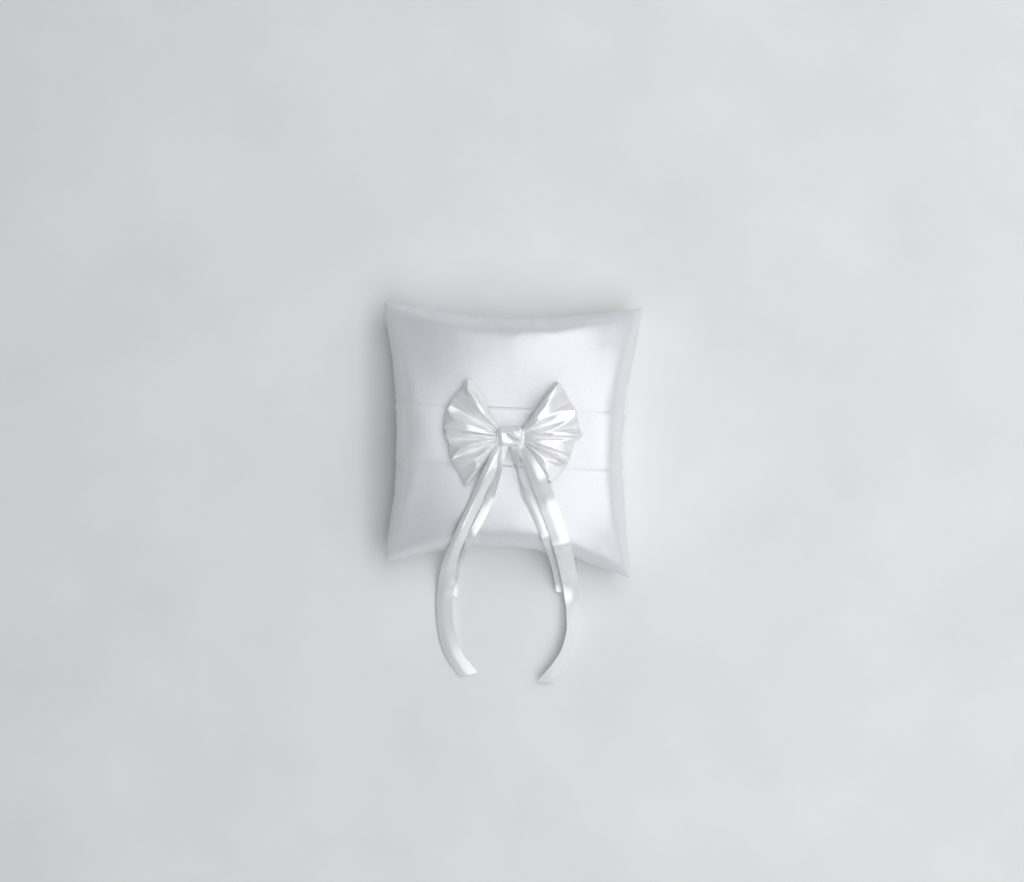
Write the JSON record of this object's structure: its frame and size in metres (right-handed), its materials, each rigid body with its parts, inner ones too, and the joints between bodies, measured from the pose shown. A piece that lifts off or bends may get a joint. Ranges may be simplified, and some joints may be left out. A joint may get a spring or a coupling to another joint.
{
  "type": "ring bearer pillow",
  "caption": "Small square satin cushion with a wide sash, a fanned satin bow and long ribbon tails for tying on wedding rings.",
  "frame": {"origin": "middle of the flat underside, on the table, straight below the bow's knot", "axes": "+Z out of the face with the bow, +Y to the edge opposite the tails, +X to the right seen from the face"},
  "size_m": [0.195, 0.292, 0.0751],
  "materials": {
    "cover_satin": "satin",
    "sash_satin": "satin",
    "bow_satin": "satin",
    "ribbon_satin": "satin",
    "lining_cotton": "matte",
    "filling_fibre": "matte",
    "sewing_thread": "matte"
  },
  "bodies": {
    "pillow": {"cover_front": "cover_satin", "cover_back": "cover_satin", "lining_front": "lining_cotton", "lining_back": "lining_cotton", "fibre_filling": "filling_fibre", "edge_seam_stitches": "sewing_thread", "closing_stitches": "sewing_thread", "sash_band": "sash_satin", "sash_join_stitches": "sewing_thread", "bow_loop_left": "bow_satin", "bow_loop_right": "bow_satin", "bow_waist": "bow_satin", "gathering_thread": "sewing_thread", "knot_wrap": "bow_satin", "bow_tack_stitches": "sewing_thread"},
    "tail_left": {"tail_left": "ribbon_satin"},
    "tail_right": {"tail_right": "ribbon_satin"},
    "ring_ribbon_left": {"ring_ribbon_left": "ribbon_satin"},
    "ring_ribbon_right": {"ring_ribbon_right": "ribbon_satin"}
  },
  "joints": [
    {"name": "tail_left_lift", "type": "hinge", "parent": "pillow", "child": "tail_left", "pos_m": [-0.0122, -0.009, 0.07085], "axis": [-1, 0, 0], "range_deg": [0, 110]},
    {"name": "tail_right_lift", "type": "hinge", "parent": "pillow", "child": "tail_right", "pos_m": [0.011, -0.009, 0.07085], "axis": [-1, 0, 0], "range_deg": [0, 110]},
    {"name": "ring_ribbon_left_lift", "type": "hinge", "parent": "pillow", "child": "ring_ribbon_left", "pos_m": [-0.006, -0.009, 0.07085], "axis": [-1, 0, 0], "range_deg": [0, 110]},
    {"name": "ring_ribbon_right_lift", "type": "hinge", "parent": "pillow", "child": "ring_ribbon_right", "pos_m": [0.0042, -0.009, 0.07085], "axis": [-1, 0, 0], "range_deg": [0, 110]}
  ]
}
